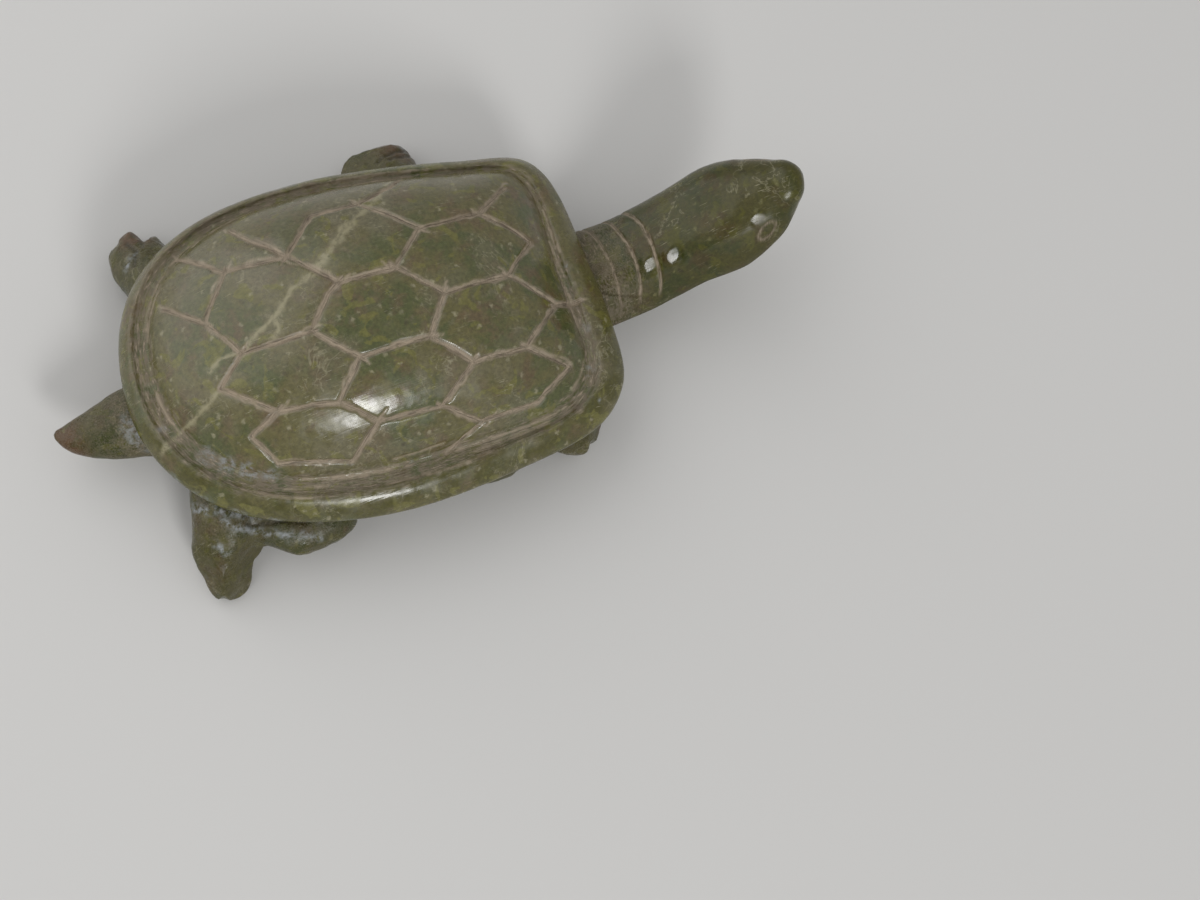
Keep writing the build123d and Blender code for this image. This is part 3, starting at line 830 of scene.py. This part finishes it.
def carve_shell(piece, turn, inset, ring):
    """Cuts the lines and strokes, and marks what the material colours."""
    sizes, cuts = bpy.context.scene.turtle_shell, bpy.context.scene.turtle_carving
    places, normals = shape_of(piece)
    tree = surface_of(piece)
    lines = [scribed(tree, on_dome(shares), 0.16 * MM, 0.45 * MM, index * 2.7)
             for index, shares in enumerate(SCUTE_LINES)]
    gap, aside, run = nearest_line(places, normals, lines, 3.0 * MM)
    veins = [scribed(tree, on_dome(VEIN), 0.5 * MM, 0.0, 41.3)]
    veins += [scribed(tree, on_dome(shares), 0.4 * MM, 0.0, 50 + index)
              for index, shares in enumerate(VEIN_BRANCHES)]
    vein_gap, _, _ = nearest_line(places, normals, veins, 2.0 * MM)

    # Long strokes in the channel, and the thin ones where the scriber ran beside its line
    strokes = [scribed(tree, plan, 0.10 * MM, 0.0, 90 + index, SCRAPED_ABOVE)
               for index, plan in enumerate(scraper_strokes())]
    strokes += [scribed(tree, on_dome(shares), 0.75 * MM, 1.1 * MM, 200 + index * 3.7,
                        SCRAPED_ABOVE) for index, shares in enumerate(SCUTE_LINES)]
    stroke_gap, _, _ = nearest_line(places, normals, strokes, 1.0 * MM)
    scraped = places[:, 2] > SCRAPED_ABOVE
    stroke = np.exp(-(stroke_gap / (0.14 * MM)) ** 2) * scraped

    brim_edge, channel = margins(turn, sizes)
    quick = ripples(places, 1.1 * MM, 2)
    upper = ring == 0
    width = cuts.line_width / 2 * (0.95 + 0.50 * ripples(places, 2.2 * MM, 3))
    ragged = 0.5 * MM * quick
    front = fade(0.80, 1.0, np.cos(turn))
    foot_band = fade(0.8 * MM + 1.0 * MM * front, -0.2 * MM, inset - (brim_edge + channel) + ragged)
    floor_band = fade(brim_edge - 0.9 * MM, brim_edge + 0.3 * MM, inset + ragged)
    band = np.where(upper, foot_band, floor_band) * scraped
    lift = 0.04 * MM * ripples(places, 9 * MM, 1) - cuts.line_depth * np.exp(-(gap / width) ** 2.5)
    lift += 0.07 * MM * (fade(0.0, 2.6 * MM, gap) - 1) * upper
    lift += np.where(band > 0, 0.05 * MM * quick * band, 0.012 * MM * quick) - 0.09 * MM * stroke
    set_places(piece, places + normals * lift[:, None])

    vein_width = cuts.vein_width / 2 * (0.9 + 1.1 * ripples(places, 1.2 * MM, 4))
    fork = lengths(places[:, :2] - np.array((-12.2, 5.5)) * MM)
    vein_width += 0.45 * MM * fade(1.6 * MM, 0.4 * MM, fork)
    brim = np.where(upper, 0.0, fade(brim_edge + 0.2 * MM, brim_edge - 0.9 * MM, inset + ragged))
    # Brim amber: yellower stone all round, and a painted glow of light through the brim on the
    # window side
    near = fade(0.75, -0.3, np.sin(turn)) * (1 - 0.75 * front)
    # Towards the far rear of the dome, which faces the ceiling light: a painted sheen of grey
    far_rear = fade(0.0, 14 * MM, places[:, 1] - 0.25 * places[:, 0] - 1 * MM)
    set_masks(
        piece, band=band, stroke=0.75 * stroke, cut=np.exp(-(gap / (width * 1.15)) ** 3),
        cut_space=np.stack([run / 18, aside, np.zeros(len(run))], 1),
        vein=np.exp(-(vein_gap / np.maximum(vein_width, 0.12 * MM)) ** 2.0),
        ring_space=np.stack([3.5 * MM * np.cos(turn), 3.5 * MM * np.sin(turn), inset], 1),
        amber=brim * (0.25 * (1 - 0.8 * front) + 0.7 * near), ashen=0.5 * far_rear * upper,
        dust=dusted(places, SHELL_DUST))


class OBJECT_OT_turtle_shell(bpy.types.Operator):
    """Carve the carapace: brim, channel, dome, scute lines and vein"""

    bl_idname = "object.turtle_shell"
    bl_label = "Carapace"

    def execute(self, context):
        sizes = context.scene.turtle_shell
        bpy.ops.object.select_all(action="DESELECT")
        bpy.ops.mesh.primitive_grid_add(x_subdivisions=sizes.grid_steps,
                                        y_subdivisions=sizes.grid_steps, size=2.0)
        piece = context.active_object
        piece.name = piece.data.name = "carved_carapace"
        flat, _ = shape_of(piece)
        with editing(piece, np.abs(flat[:, :2]).max(1) > 1 - 1e-6):
            extrude_rings(sizes.rim_rings)
        flat, _ = shape_of(piece)
        places, turn, inset, ring = shell_places(flat, sizes)
        set_places(piece, places)

        # The last ring under the rim closes on the seat of the belly's boss
        middle, _ = shell_frame()
        with editing(piece, ring == sizes.rim_rings):
            bpy.ops.mesh.extrude_region_move()
            bpy.ops.transform.resize(value=(0.6, 0.6, 1.0), center_override=(*middle, 0.0))
            bpy.ops.mesh.extrude_region_move(TRANSFORM_OT_translate={"value": (0, 0, 2.1 * MM)})
            bpy.ops.mesh.extrude_region_move()
            bpy.ops.mesh.merge(type="CENTER")
        extra = len(piece.data.vertices) - len(turn)
        turn = np.append(turn, np.zeros(extra))
        inset = np.append(inset, np.full(extra, 9 * MM))
        ring = np.append(ring, np.full(extra, sizes.rim_rings))
        face_outwards(piece)
        carve_shell(piece, turn, inset, ring)
        finish_piece(piece, ["carapace"], shell_stone())
        return {"FINISHED"}


def node_copy(name, node, voxel, rounds):
    """Copy of a CAD node's form, with its facets melted into rubbed stone."""
    piece = bpy.data.objects.new(name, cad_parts[node].data.copy())
    bpy.context.scene.collection.objects.link(piece)
    piece.data.materials.clear()
    piece.data.name = name
    with editing(piece):
        bpy.ops.mesh.remove_doubles(threshold=0.001 * MM)
    remesh = piece.modifiers.new("Remesh", "REMESH")
    remesh.mode = "VOXEL"
    remesh.voxel_size = voxel
    bpy.ops.object.modifier_apply(modifier=remesh.name)
    soften = piece.modifiers.new("Smooth", "SMOOTH")
    soften.factor = 0.5
    soften.iterations = rounds
    bpy.ops.object.modifier_apply(modifier=soften.name)
    return piece


class OBJECT_OT_turtle_belly(bpy.types.Operator):
    """Carve the belly block under the carapace"""

    bl_idname = "object.turtle_belly"
    bl_label = "Belly"

    def execute(self, context):
        piece = node_copy("carved_belly", "belly", 0.4 * MM, 6)
        places, normals = shape_of(piece)
        lift = 0.10 * MM * ripples(places, 7 * MM, 6) + 0.03 * MM * ripples(places, 1.2 * MM, 7)
        set_places(piece, places + normals * lift[:, None])
        set_masks(piece, band=np.full(len(places), 0.35))
        finish_piece(piece, ["belly"], shell_stone())
        return {"FINISHED"}


def run_of_stone(name, along, across, height, sizes, around):
    """Round run of stone: one ring extruded along the places and closed at both ends."""
    places = np.stack([along, across, height], 1)
    bpy.ops.object.select_all(action="DESELECT")
    bpy.ops.mesh.primitive_circle_add(vertices=around, radius=1.0, fill_type="NOTHING")
    piece = bpy.context.active_object
    piece.name = piece.data.name = name
    with editing(piece):
        extrude_rings(len(places) - 1)
        bpy.ops.mesh.merge(type="CENTER")
    flat, _ = shape_of(piece)
    with editing(piece, flat[:, 2] > -0.5):
        bpy.ops.mesh.merge(type="CENTER")
    flat, _ = shape_of(piece)
    ring = np.rint(-flat[:, 2]).astype(int)
    heading = unit(np.gradient(places, axis=0))
    right = unit(np.cross(heading, (0, 0, 1)))
    top = np.cross(right, heading)
    wide, tall = (np.stack(sizes, 1)[ring] / 2 * flat[:, :2]).T[..., None]
    set_places(piece, places[ring] + right[ring] * wide + top[ring] * tall)
    face_outwards(piece)
    return piece


def flattened(piece, places, facets):
    """Places with small flat facets: plan place and radius in millimetres, outward direction."""
    tree = surface_of(piece)
    for x, y, radius, outward in facets:
        hit, _, _, _ = tree.ray_cast(Vector((x * MM, y * MM, 0.1)), Vector((0, 0, -1)))
        outward = unit(outward)
        offset = places - np.array(hit)
        share = fade(radius * MM, 0.55 * radius * MM, lengths(offset))
        places = places - (share * (offset @ outward))[:, None] * outward
    return places


class OBJECT_OT_turtle_head(bpy.types.Operator):
    """Carve the neck and head with its rings and eyes"""

    bl_idname = "object.turtle_head"
    bl_label = "Head and neck"

    def execute(self, context):
        limbs, cuts = context.scene.turtle_limbs, context.scene.turtle_carving
        part, climb, wide, thick = eased(NECK, 230)
        bulge = limbs.head_bulge * fade(0.45, 0.70, part) * fade(1.0, 0.9, part)
        along = SHELL_X + limbs.neck_root + (limbs.snout_reach - limbs.neck_root) * part
        across = SHELL_Y - (0.6 + 0.4 * climb) * MM + bulge / 2
        across += limbs.head_bulge * fade(0.86, 1.0, part)
        sizes = (limbs.neck_width * wide + bulge, limbs.neck_thickness * thick)
        height = limbs.neck_height + limbs.snout_rise * climb
        piece = run_of_stone("carved_head", along, across, height, sizes, 144)
        places, normals = shape_of(piece)
        upper = fade(-0.75, -0.1, normals[:, 2]) * fade(-8.2 * MM, -7.2 * MM, places[:, 1])
        lift = 0.10 * MM * ripples(places, 6 * MM, 11) + 0.012 * MM * ripples(places, 1.0 * MM, 12)
        cut = np.zeros(len(places))
        aside = np.full(len(places), 1.0)
        run = np.arctan2(places[:, 2] - 9 * MM, places[:, 1] + 2.6 * MM) * 5 * MM
        for index, (x, lean, share) in enumerate(NECK_RINGS):
            wobble = 0.16 * ripples(places, 3 * MM, 13 + index) * MM
            gap = (places[:, 0] - x * MM) - lean * (places[:, 2] - 9 * MM) + wobble
            line = np.exp(-np.abs(gap / (cuts.ring_width / 2)) ** 2.5) * upper * share
            lift -= cuts.ring_depth * line
            aside = np.where(np.abs(gap) < np.abs(aside), gap, aside)
            cut = np.maximum(cut, line)

        # Eye rings: ellipses scratched on the sides of the head, and a low bead in the right one
        for side, centre, carved in EYES:
            out = np.array((0.05, 0.74 * side, 0.67))
            ahead = np.array((0.75, -0.45 * side, 0.44))
            ahead = unit(ahead - out * (ahead @ out) / (out @ out))
            over = unit(np.cross(out, ahead))
            offset = places - np.array(centre) * MM
            local = np.hypot(offset @ ahead / (cuts.eye_length / 2),
                             offset @ over / (cuts.eye_height / 2))
            facing = (normals @ out > 0.2) & (lengths(offset) < 4 * MM)
            gap = (local - 1) * cuts.eye_height / 2
            line = np.exp(-np.abs(gap / (0.14 * MM)) ** 2.5) * facing
            lift += (0.05 * MM * fade(0.8, 0.2, local) * facing - 0.10 * MM * line) * carved
            cut = np.maximum(cut, 0.7 * line)
        places = flattened(piece, places + normals * lift[:, None], HEAD_FACETS)
        set_places(piece, places)
        set_masks(
            piece, cut=cut * 0.8, cut_space=np.stack([run / 18, aside, np.zeros(len(run))], 1),
            dust=dusted(places, HEAD_DUST), dull=0.7 * fade(-5.7 * MM, -6.6 * MM, places[:, 1]),
            band=fade(27 * MM, 20 * MM, places[:, 0]) * 0.75,
            ring_space=np.stack([run / 2, np.zeros(len(run)), places[:, 0]], 1),
            amber=fade(42.5 * MM, 44.6 * MM, places[:, 0]))
        finish_piece(piece, ["head_and_neck"], limb_stone())
        return {"FINISHED"}


class OBJECT_OT_turtle_tail(bpy.types.Operator):
    """Carve the short tail"""

    bl_idname = "object.turtle_tail"
    bl_label = "Tail"

    def execute(self, context):
        limbs = context.scene.turtle_limbs
        part, drift, wide, thick = eased(TAIL, 110)
        along = SHELL_X - limbs.tail_root - (limbs.tail_reach - limbs.tail_root) * part
        across = SHELL_Y + limbs.tail_drift * drift + 0.8 * MM * fade(0.95, 0.50, part)
        flare = 1.5 * MM * fade(0.80, 0.40, part)
        sizes = (limbs.tail_width * wide + flare, limbs.tail_thickness * thick)
        piece = run_of_stone("carved_tail", along, across, (6.0 - 0.4 * part) * MM, sizes, 112)
        places, normals = shape_of(piece)
        lift = 0.14 * MM * ripples(places, 5 * MM, 21) + 0.03 * MM * ripples(places, 1.0 * MM, 22)
        set_places(piece, places + normals * lift[:, None])
        set_masks(
            piece, dust=dusted(places, TAIL_DUST),
            rust=fade(-40.5 * MM, -43.5 * MM, places[:, 0]),
            band=0.25 + 0.45 * fade(-40 * MM, -36 * MM, places[:, 0]),
            ring_space=places[:, [1, 2, 0]])
        finish_piece(piece, ["tail"], limb_stone())
        return {"FINISHED"}


class OBJECT_OT_turtle_legs(bpy.types.Operator):
    """Carve the four legs with their feet, toes and haunches"""

    bl_idname = "object.turtle_legs"
    bl_label = "Legs"

    def execute(self, context):
        for index, (node, work) in enumerate(LEGS.items()):
            piece = node_copy("carved_" + node, node, 0.20 * MM, 14)
            places, _ = shape_of(piece)
            for centre, radius, move in work["pushes"]:
                gap = lengths(places[:, :len(centre)] - np.array(centre) * MM)
                places += fade(radius * MM, 0.0, gap)[:, None] * np.array(move) * MM
            for centre, outward, radius in work["facets"]:
                outward = unit(outward)
                offset = places - np.array(centre) * MM
                share = 0.85 * fade(radius * MM, 0.7 * radius * MM, lengths(offset))
                places -= (share * np.maximum(offset @ outward, 0.0))[:, None] * outward
            places[:, 2] = np.maximum(places[:, 2], 0.0)
            set_places(piece, places)
            _, normals = shape_of(piece)
            tree = surface_of(piece)
            # Creases: shallow grooves, with the pit colour laid in them as painted shade
            marks = self.lines(tree, work["marks"], 0.5 * MM, 60 + index)
            gap, _, _ = nearest_line(places, normals, marks, 1.5 * MM)
            cut = np.exp(-(gap / (0.30 * MM)) ** 2) * 0.8
            lift = 0.14 * MM * ripples(places, 3.2 * MM, 31 + index)
            lift += 0.05 * MM * ripples(places, 0.9 * MM, 41 + index) - 0.22 * MM * cut

            # The sole stays flat on the table
            sole = fade(0.05 * MM, 0.8 * MM, places[:, 2])
            places = places + normals * (lift * sole)[:, None]
            places[:, 2] = np.maximum(places[:, 2], 0.0)
            set_places(piece, places)
            chalk = self.lines(tree, work["chalk"], 0.7 * MM, 80 + index)
            gap, _, _ = nearest_line(places, normals, chalk, 1.5 * MM)
            set_masks(
                piece, crease=cut, dust=1.1 * np.exp(-(gap / (0.42 * MM)) ** 2),
                band=0.15 + 0.2 * fade(6.0 * MM, 8.8 * MM, places[:, 2]),
                rust=dusted(places, work["rust"]), ring_space=places[:, [2, 0, 1]])
            finish_piece(piece, [node], limb_stone())
        return {"FINISHED"}

    def lines(self, tree, plans, wobble, seed):
        """Lines laid on a leg from plans in millimetres, down to just above the table."""
        return [scribed(tree, np.array(plan) * MM, wobble, 0.0, seed, 0.5 * MM) for plan in plans]


def painted_board(settings):
    """Matt painted board: a faint stipple that takes soft shadows."""
    material, tree = new_material("matt painted board")
    coords = add_node(tree, "ShaderNodeTexCoord", None, "Object")
    stipple = add_node(tree, "ShaderNodeTexNoise",
                       {"Vector": coords, "Scale": per_mm(0.8), "Detail": 2.0})
    bump = add_node(tree, "ShaderNodeBump",
                    {"Strength": 0.15, "Distance": 0.01 * MM, "Height": stipple})
    surface = add_node(tree, "ShaderNodeBsdfPrincipled", {
        "Base Color": (*settings.board, 1.0), "Roughness": 0.7, "Normal": bump})
    add_node(tree, "ShaderNodeOutputMaterial", {"Surface": surface})
    return material


def softbox(name, direction, distance, size, power):
    """Square soft light that faces the turtle."""
    data = bpy.data.lights.new(name, "AREA")
    data.shape = "SQUARE"
    data.size = size
    data.energy = power
    lamp = bpy.data.objects.new(name, data)
    bpy.context.scene.collection.objects.link(lamp)
    heading = Vector(direction).normalized()
    lamp.location = Vector((-5.0, -2.0, 10.0)) * MM + heading * distance
    lamp.rotation_euler = heading.to_track_quat("Z", "Y").to_euler()


def set_camera(context):
    """Camera at the place and slant that the tape's marks gave."""
    data = bpy.data.cameras.new("camera")
    data.sensor_width = 36.0
    data.lens = 58.79
    data.clip_start = 0.01
    camera = bpy.data.objects.new("camera", data)
    context.scene.collection.objects.link(camera)
    right = Vector((0.90205, -0.38861, 0.18784))
    up = Vector((0.33522, 0.90489, 0.26231))
    back = Vector((-0.27191, -0.17365, 0.94652))
    turn = Matrix((right, up, back)).transposed().to_4x4()
    camera.matrix_world = Matrix.Translation(Vector((-49.67, -62.32, 223.64)) * MM) @ turn
    context.scene.camera = camera


class OBJECT_OT_turtle_stage(bpy.types.Operator):
    """Set the pale board, the lights and the camera"""

    bl_idname = "object.turtle_stage"
    bl_label = "Board, lights and camera"

    def execute(self, context):
        settings = context.scene.turtle_stage
        bpy.ops.object.select_all(action="DESELECT")
        bpy.ops.mesh.primitive_grid_add(x_subdivisions=12, y_subdivisions=12, size=1.0)
        board = context.active_object
        board.name = board.data.name = "pale_board"
        flat, _ = shape_of(board)
        set_places(board, flat * settings.board_size)
        board.data.materials.append(painted_board(settings))
        world = bpy.data.worlds.new("soft room")
        world.use_nodes = True
        room = world.node_tree.nodes["Background"]
        room.inputs["Color"].default_value = (1.0, 1.0, 1.0, 1.0)
        room.inputs["Strength"].default_value = settings.world_level
        context.scene.world = world
        softbox("window", (-0.05, -0.82, 0.55), 1.00, 0.25, settings.key_power)
        softbox("ceiling", (-0.62, 0.58, 0.53), 0.45, 0.80, settings.top_power)
        set_camera(context)
        context.scene.view_settings.view_transform = "Standard"
        return {"FINISHED"}


class VIEW3D_PT_turtle(bpy.types.Panel):
    """The turtle's stones, in the order that they are carved"""

    bl_label = "Turtle figurine"
    bl_idname = "VIEW3D_PT_turtle"
    bl_space_type = "VIEW_3D"
    bl_region_type = "UI"
    bl_category = "Turtle"

    def draw(self, context):
        for operator in OPERATORS:
            self.layout.operator(operator.bl_idname)
        for group in GROUPS:
            box = self.layout.box()
            settings = getattr(context.scene, group)
            for name in settings.bl_rna.properties.keys():
                if name not in ("rna_type", "name"):
                    box.prop(settings, name)


OPERATORS = [
    OBJECT_OT_turtle_shell, OBJECT_OT_turtle_belly, OBJECT_OT_turtle_head, OBJECT_OT_turtle_tail,
    OBJECT_OT_turtle_legs, OBJECT_OT_turtle_stage,
]
GROUPS = {
    "turtle_shell": TurtleShellSizes, "turtle_limbs": TurtleLimbSizes,
    "turtle_carving": TurtleCarvingSizes, "turtle_colours": TurtleStoneColours,
    "turtle_stage": TurtleStageSettings,
}


def register():
    for group in (*GROUPS.values(), *OPERATORS, VIEW3D_PT_turtle):
        bpy.utils.register_class(group)
    for name, group in GROUPS.items():
        setattr(bpy.types.Scene, name, PointerProperty(type=group))


def unregister():
    for name in GROUPS:
        delattr(bpy.types.Scene, name)
    for group in reversed((*GROUPS.values(), *OPERATORS, VIEW3D_PT_turtle)):
        bpy.utils.unregister_class(group)


def main():
    register()
    bpy.ops.object.turtle_shell()
    bpy.ops.object.turtle_belly()
    bpy.ops.object.turtle_head()
    bpy.ops.object.turtle_tail()
    bpy.ops.object.turtle_legs()
    bpy.ops.object.turtle_stage()


if __name__ == "__main__":
    main()
